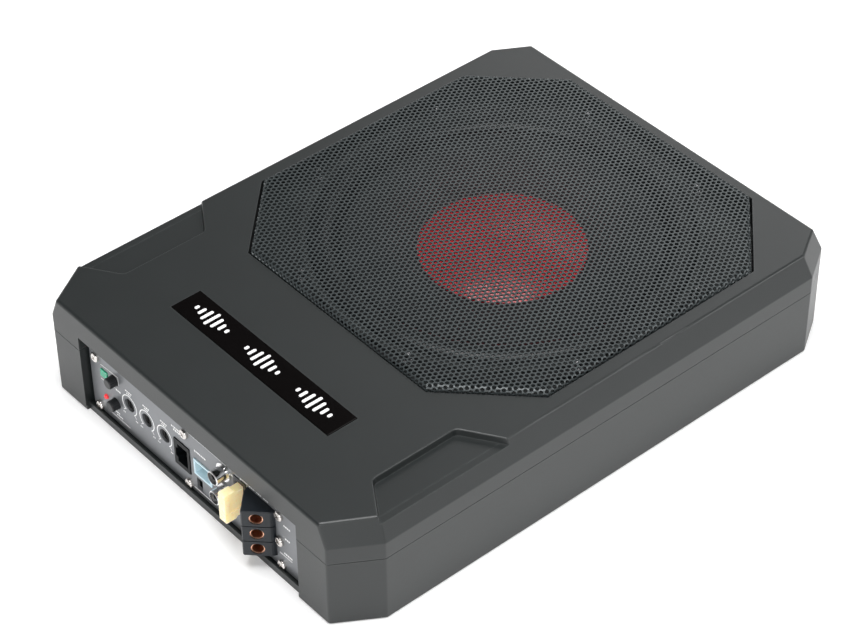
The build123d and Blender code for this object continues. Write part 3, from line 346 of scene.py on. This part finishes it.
def make_materials():
    """Every material, by name."""
    return {
        "case": case_coat(),
        "gasket": plain("gasket_rubber", (0.03, 0.033, 0.033), 0.7, relief=0.00001),
        "roll": plain("surround_rubber", (0.005, 0.005, 0.006), 0.35, grain=0.0009, relief=0.00001),
        "grille": plain("grille_steel", (0.042, 0.050, 0.052), 0.34, metal=0.25, relief=0.000006),
        "badge": plain("badge_gloss", (0.002, 0.0015, 0.0015), 0.2, relief=0.000002, Specular_IOR_Level=0.1),
        "print": plain("badge_print", (0.88, 0.88, 0.88), 0.35, vary=0.03),
        "silk": plain("panel_print", (0.94, 0.94, 0.94), 0.55, vary=0.04),
        "steel": brushed("screw_steel", (0.50, 0.50, 0.51), 0.32),
        "chrome": plain("panel_screw_chrome", (0.70, 0.67, 0.64), 0.14, metal=1.0, relief=0.000004),
        "sleeve": plain(
            "sleeve_chrome", (0.80, 0.80, 0.80), 0.08, metal=1.0, relief=0.000002, rough_vary=0.03
        ),
        "brass": plain("insert_brass", (0.60, 0.36, 0.14), 0.28, metal=1.0),
        "copper": plain("clamp_copper", (0.90, 0.50, 0.34), 0.3, metal=1.0),
        "gold": plain("gold_contact", (0.83, 0.58, 0.22), 0.2, metal=1.0),
        "basket": plain("basket_paint", (0.012, 0.012, 0.013), 0.45),
        "zinc": plain("plated_steel", (0.36, 0.37, 0.38), 0.35, metal=1.0, vary=0.25),
        "ferrite": plain("ferrite", (0.030, 0.030, 0.032), 0.7, relief=0.00006),
        "cone": cone_pulp(),
        "cap": glossy_cap(),
        "foil": brushed("former_foil", (0.75, 0.75, 0.76), 0.3, along=(1, 1, 8)),
        "coil": brushed("coil_copper", (0.55, 0.24, 0.10), 0.3, along=(1, 1, 12)),
        "spider": woven("spider_cloth", (0.40, 0.26, 0.08), (0.55, 0.38, 0.14), 0.0008),
        "board": plain("board_green", (0.008, 0.075, 0.028), 0.35, grain=0.002, vary=0.3),
        "heatsink": brushed("heatsink_alu", (0.55, 0.55, 0.57), 0.4, along=(1, 1, 10)),
        "black": plain("black_plastic", (0.012, 0.013, 0.015), 0.42, relief=0.00002),
        "block": plain("block_plastic", (0.009, 0.012, 0.016), 0.38, relief=0.00001, Specular_IOR_Level=0.35),
        "wire": plain("wire_jacket", (0.02, 0.02, 0.02), 0.5),
        "panel": plain("panel_grey", (0.22, 0.228, 0.24), 0.40, metal=0.5, grain=0.0003, vary=0.05),
        "knob": plain("knob_plastic", (0.003, 0.003, 0.003), 0.4, Specular_IOR_Level=0.05),
        "socket": plain("socket_plastic", (0.004, 0.005, 0.006), 0.35, Specular_IOR_Level=0.12),
        "green": tinted("led_green", (0.03, 0.42, 0.24), see_through=0.25, glow=0.15),
        "red": tinted("led_red", (0.85, 0.05, 0.06), see_through=0.3, glow=0.35),
        "nylon": plain("header_nylon", (0.60, 0.78, 0.86), 0.4, vary=0.04),
        "fuse": plain(
            "fuse_amber",
            (1.0, 0.78, 0.48),
            0.3,
            grain=0.002,
            relief=0.000004,
            vary=0.03,
            Subsurface_Weight=1.0,
            Subsurface_Radius=(1.0, 0.8, 0.5),
            Subsurface_Scale=0.006,
            # painted glow: emission stands in for light shining through the amber plastic, the fuse is no
            # lamp
            Emission_Color=(1.0, 0.72, 0.36, 1),
            Emission_Strength=0.22,
        ),
        "blade": brushed("blade_zinc", (0.6, 0.6, 0.62), 0.35),
    }


NODE_MATERIALS = {
    "case": ["base_tray", "top_cover"],
    "gasket": ["shell_gasket", "woofer_gasket", "surround"],
    "grille": ["grille"],
    "badge": ["badge_plate"],
    "print": ["badge_emblem"],
    "steel": ["case_screws", "board_screws", "woofer_screws"]
    + [f"clamp_{part}_{i}" for part in ("pad", "screw") for i in (1, 2, 3)],
    "chrome": ["panel_screws"],
    "sleeve": ["rca_sleeves"],
    "brass": ["bracket_inserts"],
    "copper": ["brass_clamps"],
    "gold": ["jack_contacts", "header_pins"],
    "basket": ["basket"],
    "zinc": ["yoke", "top_plate"],
    "ferrite": ["magnet"],
    "cone": ["cone"],
    "cap": ["dust_cap"],
    "foil": ["voice_coil_former"],
    "coil": ["voice_coil", "output_coils", "transformer"],
    "spider": ["spider"],
    "board": ["amp_board", "control_board", "tag_board"],
    "heatsink": ["heatsink"],
    "black": [
        "power_transistors",
        "capacitors",
        "switch_bodies",
        "pot_bodies",
        "rca_housing",
        "rca_insulators",
        "fuse_holder",
        "phase_button",
        "auto_on_button",
    ],
    "knob": ["gain_knob", "low_pass_knob", "bass_boost_knob"],
    "socket": ["remote_jack"],
    "block": ["terminal_block"],
    "wire": ["speaker_wires"],
    "panel": ["control_panel"],
    "green": ["power_led"],
    "red": ["protect_led"],
    "nylon": ["high_level_header"],
    "fuse": ["fuse"],
    "blade": ["fuse_blades"],
}


def dress_nodes(materials):
    """Give every CAD node its material."""
    for key, names in NODE_MATERIALS.items():
        for name in names:
            node = NODES[name]
            node.data.materials.clear()
            node.data.materials.append(materials[key])


def new_piece(name, points, faces, material, body=CHASSIS, smooth=False):
    """A mesh object with a material that rides on a CAD body."""
    data = bpy.data.meshes.new(name)
    data.from_pydata([tuple(p) for p in points], [], [tuple(f) for f in faces])
    data.validate()
    data.polygons.foreach_set("use_smooth", [smooth] * len(data.polygons))
    data.materials.append(material)
    piece = bpy.data.objects.new(name, data)
    bpy.context.collection.objects.link(piece)
    if body:
        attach(piece, body)
    return piece


# ---------- perforated grille ----------
HOLE_PITCH = 3.0 * MM
HOLE_R = 1.16 * MM
HOLE_SIDES = 12
SHEET_T = 0.7 * MM
BEND_R = 2.6 * MM
CORNER_CUT = 43.5 * MM
WELD = 0.02 * MM


def grille_shape():
    """Centre, half sizes and corner cut of the octagon, from the CAD pan."""
    low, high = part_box("grille")
    centre = np.array([(low[0] + high[0]) / 2, (low[1] + high[1]) / 2])
    half = np.array([(high[0] - low[0]) / 2, (high[1] - low[1]) / 2])
    return centre, half, CORNER_CUT, low[2], high[2]


def make_grille(material):
    """Perforated sheet: hexagonal cells, each a ring about a round hole, folded down at the rim."""
    centre, half, cut, rim_low, top = grille_shape()
    normals = np.array([[1, 0], [-1, 0], [0, 1], [0, -1], [1, 1], [-1, 1], [1, -1], [-1, -1]], float)
    normals /= np.linalg.norm(normals, axis=1)[:, None]
    corner = (half[0] + half[1] - cut) / math.sqrt(2)
    reach = np.array([half[0], half[0], half[1], half[1]] + [corner] * 4)
    flat = (half[0] - BEND_R) / half[0]
    arc = BEND_R * math.pi / 2
    drop = top - BEND_R - rim_low
    limit = flat + (arc + drop) / half[0]

    # hexagonal lattice with rows along X
    row_step = HOLE_PITCH * math.sqrt(3) / 2
    rows = int(half[1] * limit / row_step) + 2
    columns = int(half[0] * limit / HOLE_PITCH) + 2
    cells = [
        (column * HOLE_PITCH + (row % 2) * HOLE_PITCH / 2, row * row_step)
        for row in range(-rows, rows + 1)
        for column in range(-columns, columns + 1)
    ]
    cells = np.array(cells)
    gauge = (cells @ normals.T / reach).max(axis=1)
    cells = cells[gauge < limit - 0.5 * HOLE_PITCH / half[0]]

    # one cell: hole points, then points on the hexagon between neighbours
    angles = np.arange(HOLE_SIDES) * 2 * math.pi / HOLE_SIDES + math.pi / 6
    unit = np.stack([np.cos(angles), np.sin(angles)], 1)
    apothem = HOLE_PITCH / 2
    corner_r = apothem / math.cos(math.radians(30))
    outer_r = np.array([corner_r if i % 2 == 0 else apothem for i in range(HOLE_SIDES)])
    ring = np.concatenate([unit * HOLE_R, unit * outer_r[:, None]])
    sheet = (cells[:, None, :] + ring[None]).reshape(-1, 2)

    def folded(depth):
        """Points of the sheet at a depth under its outer face, folded over the rim."""
        share = (sheet @ normals.T / reach).max(axis=1)
        run = np.maximum(share - flat, 0) * half[0]
        angle = np.minimum(run / BEND_R, math.pi / 2)
        radius = BEND_R - depth
        out = radius * np.sin(angle)
        height = top - BEND_R + radius * np.cos(angle) - np.maximum(run - arc, 0)
        new_share = np.where(run > 0, flat + out / half[0], share)
        scale = np.where(share > 0, new_share / np.maximum(share, 1e-9), 1)
        return np.column_stack([sheet * scale[:, None] + centre, height])

    outer, inner = folded(0.0), folded(SHEET_T)
    points = np.concatenate([outer, inner])
    count = len(sheet)
    base = (np.arange(len(cells)) * 2 * HOLE_SIDES)[:, None]
    this = np.arange(HOLE_SIDES)
    following = (this + 1) % HOLE_SIDES
    hole_a, hole_b = base + this, base + following
    edge_a, edge_b = base + HOLE_SIDES + this, base + HOLE_SIDES + following
    faces = np.concatenate(
        [
            np.stack([hole_a, edge_a, edge_b, hole_b], -1).reshape(-1, 4),
            np.stack([hole_b, edge_b, edge_a, hole_a], -1).reshape(-1, 4) + count,
            np.stack([hole_b, hole_b + count, hole_a + count, hole_a], -1).reshape(-1, 4),
        ]
    )
    # weld the shared hexagon points
    keys = np.round(points / WELD).astype(np.int64)
    _, first, index = np.unique(keys, axis=0, return_index=True, return_inverse=True)
    index = index.reshape(-1)
    points, faces = points[first], index[faces]
    good = np.array([len(set(face)) == 4 for face in faces.tolist()])
    piece = new_piece("grille_mesh", points.tolist(), faces[good].tolist(), material)
    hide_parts("grille")


# ---------- surround and spider rings ----------------------------
ROLL_OUT_R = 105.5 * MM
ROLL_IN_R = 90.0 * MM
SURROUND_GLUE_R = 87.2 * MM  # inner edge of the ledge glued to the cone
SURROUND_T = 0.8 * MM
ROLL_POINTS = 20
SPIDER_INNER_R = 25.6 * MM
WAVE_IN_R = 30 * MM
WAVE_OUT_R = 54 * MM
SPIDER_T = 0.6 * MM
SPIDER_WAVES = 5


def flexing_ring(name, profile, centre_y, sectors, steps, material, replaced):
    """A ring of revolution cut into sectors, each a separate piece."""
    half_turn = math.pi / sectors
    for index in range(sectors):
        middle = 2 * half_turn * index
        points, faces = [], []
        count = len(profile)
        for step in range(steps + 1):
            angle = middle - half_turn + 2 * half_turn * step / steps
            points += [(r * math.cos(angle), centre_y + r * math.sin(angle), z) for r, z in profile]
        for step in range(steps):
            for i in range(count):
                a = step * count + i
                b = step * count + (i + 1) % count
                faces.append((a, b, b + count, a + count))
        label = f"{name}_{index + 1:02d}"
        piece = new_piece(label, points, faces, material, body=None, smooth=True)
        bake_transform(piece)
        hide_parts(replaced)


def surround_profile():
    """Closed section of the half-roll, anticlockwise, from its two ledges."""
    low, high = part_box("surround")
    ledge_low = low[2]
    ledge_top = ledge_low + SURROUND_T
    middle, reach = (ROLL_OUT_R + ROLL_IN_R) / 2, (ROLL_OUT_R - ROLL_IN_R) / 2
    height = high[2] - ledge_top
    arc = [math.pi * i / ROLL_POINTS for i in range(ROLL_POINTS + 1)]
    upper = [(middle + reach * math.cos(a), ledge_top + height * math.sin(a) ** 0.9) for a in arc]
    inner_reach = reach - SURROUND_T
    lower = [
        (middle + inner_reach * math.cos(a), ledge_low + height * math.sin(a) ** 0.9)
        for a in reversed(arc)
    ]
    outer_ledge = [(high[0], ledge_low), (high[0], ledge_top)]
    inner_ledge = [(SURROUND_GLUE_R, ledge_top), (SURROUND_GLUE_R, ledge_low)]
    return outer_ledge + upper + inner_ledge + lower


def spider_profile():
    """Closed section of the corrugated spider."""
    low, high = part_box("spider")
    line = [(SPIDER_INNER_R, low[2])]
    samples = SPIDER_WAVES * 12
    for i in range(samples + 1):
        share = i / samples
        rise = (1 - math.cos(2 * math.pi * SPIDER_WAVES * share)) / 2 * (high[2] - low[2] - SPIDER_T)
        line.append((WAVE_IN_R + (WAVE_OUT_R - WAVE_IN_R) * share, low[2] + rise))
    line.append((high[0], low[2]))
    return line + [(r, z + SPIDER_T) for r, z in reversed(line)]


# ---------- printed marks on the panel ----------
PRINT_LIFT = 0.05 * MM
PANEL_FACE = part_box("control_panel")[0][1]
DASH_GAP = 0.45  # in millimetres, like every size passed to Print
TRIMMER_X = (-55.5, -40.2, -24.9)
TRIMMER_Z = 25.0


class Print:
    """Flat raised ink: every mark is a thin closed tile on the panel face."""

    def __init__(self):
        self.points, self.faces = [], []

    def loop(self, outline):
        """Add one convex tile from (x, z) points in millimetres."""
        start, count = len(self.points), len(outline)
        for depth in (PANEL_FACE - PRINT_LIFT, PANEL_FACE + PRINT_LIFT):
            self.points += [(x * MM, depth, z * MM) for x, z in outline]
        self.faces.append(tuple(range(start, start + count)))
        self.faces.append(tuple(range(start + 2 * count - 1, start + count - 1, -1)))
        for i in range(count):
            j = (i + 1) % count
            self.faces.append((start + i, start + count + i, start + count + j, start + j))

    def bar(self, x, z, wide, high):
        """A rectangle centred on x, z."""
        w, h = wide / 2, high / 2
        self.loop([(x - w, z - h), (x + w, z - h), (x + w, z + h), (x - w, z + h)])

    def line(self, a, b, width=0.35):
        """A straight line between two points."""
        (ax, az), (bx, bz) = a, b
        length = math.hypot(bx - ax, bz - az)
        nx, nz = -(bz - az) / length * width / 2, (bx - ax) / length * width / 2
        self.loop([(ax + nx, az + nz), (ax - nx, az - nz), (bx - nx, bz - nz), (bx + nx, bz + nz)])

    def arc(self, x, z, radius, start, end, width=0.4, steps=28):
        """Part of a ring, angles in degrees from +X."""
        for i in range(steps):
            a = math.radians(start + (end - start) * i / steps)
            b = math.radians(start + (end - start) * (i + 1) / steps)
            inner, outer = radius - width / 2, radius + width / 2
            self.loop(
                [
                    (x + inner * math.cos(a), z + inner * math.sin(a)),
                    (x + outer * math.cos(a), z + outer * math.sin(a)),
                    (x + outer * math.cos(b), z + outer * math.sin(b)),
                    (x + inner * math.cos(b), z + inner * math.sin(b)),
                ]
            )

    def caption(self, x, z, widths, height=0.9):
        """A row of short dashes standing in for a small caption."""
        total = sum(widths) + DASH_GAP * (len(widths) - 1)
        at = x - total / 2
        for wide in widths:
            self.bar(at + wide / 2, z, wide, height)
            at += wide + DASH_GAP


def make_print(material):
    """Dial rings, captions and bracket lines."""
    ink = Print()
    for x in TRIMMER_X:
        ink.arc(x, TRIMMER_Z, 6.2, -55, 235, 0.6)
        ink.line((x - 4.4, 19.8), (x - 5.6, 18.6))
        ink.line((x + 4.4, 19.8), (x + 5.6, 18.6))
        ink.caption(x, 34.2, (1.1, 0.8, 1.3, 0.9))
        ink.caption(x, 32.6, (0.8, 1.0, 0.7))
        ink.caption(x - 5.5, 16.8, (0.7, 0.7), 0.7)
        ink.caption(x + 5.5, 16.8, (0.7, 0.7), 0.7)
    # frame round the indicator window and the captions of the two buttons
    ink.line((-79.6, 37.6), (-64.2, 38.6))
    ink.line((-64.2, 38.6), (-64.2, 33.0))
    ink.line((-80.6, 27.2), (-72.4, 27.2), 0.5)
    ink.caption(-70.5, 28.6, (1.0, 0.8, 1.2), 0.8)
    ink.caption(-65.2, 28.4, (1.2, 0.9, 1.3), 1.2)
    ink.caption(-70.0, 11.2, (0.9, 1.2, 0.8, 1.0, 1.2, 0.9))
    ink.caption(-66.0, 9.4, (1.0, 0.8, 1.1, 0.9))
    ink.line((-76.0, 7.4), (-57.0, 7.4), 0.35)
    # socket and connector captions
    ink.caption(-14.6, 38.0, (0.9, 0.7, 1.0, 0.8, 1.1), 1.1)
    ink.caption(-13.6, 36.2, (1.0, 1.1, 0.8, 1.0), 1.1)
    ink.caption(6.0, 33.8, (1.0, 0.8, 1.2, 0.9, 0.8, 1.0, 1.1), 1.1)
    # bracket that groups the inputs
    ink.line((-1.6, 43.0), (28.0, 43.0), 0.5)
    ink.line((28.0, 43.2), (28.0, 41.6), 0.5)
    ink.line((-1.2, 6.1), (16.5, 6.1), 0.45)
    # fuse and terminal captions
    ink.caption(34.2, 39.4, (0.9, 1.1, 0.8, 1.0, 0.9), 1.2)
    ink.line((40.2, 42.9), (40.2, 35.6), 0.5)
    ink.line((40.2, 42.9), (46.0, 42.9), 0.5)
    for i, widths in enumerate(((1.1, 0.8, 1.2), (0.8, 1.0, 0.9), (1.2, 0.7, 1.0))):
        ink.caption(49.5 + 5.6 * i, 42.9, widths, 1.2)
    ink.caption(77.0, 35.4, (0.9, 1.1, 0.8, 1.0), 1.1)
    ink.caption(77.0, 26.6, (1.0, 0.8, 0.9), 1.1)
    ink.caption(77.0, 15.4, (0.8, 1.1, 0.9, 0.8, 1.0), 1.1)
    ink.line((70.0, 13.4), (80.0, 13.4), 0.35)
    new_piece("panel_print", ink.points, ink.faces, material)


make_camera()
make_floor()
make_light()
materials = make_materials()
dress_nodes(materials)
make_grille(materials["grille"])
centre_y = sum(corner[1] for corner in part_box("dust_cap")) / 2
flexing_ring(
    "surround",
    surround_profile(),
    centre_y,
    sectors=24,
    steps=6,
    material=materials["roll"],
    replaced="surround",
)
flexing_ring(
    "spider",
    spider_profile(),
    centre_y,
    sectors=12,
    steps=8,
    material=materials["spider"],
    replaced="spider",
)
make_print(materials["silk"])
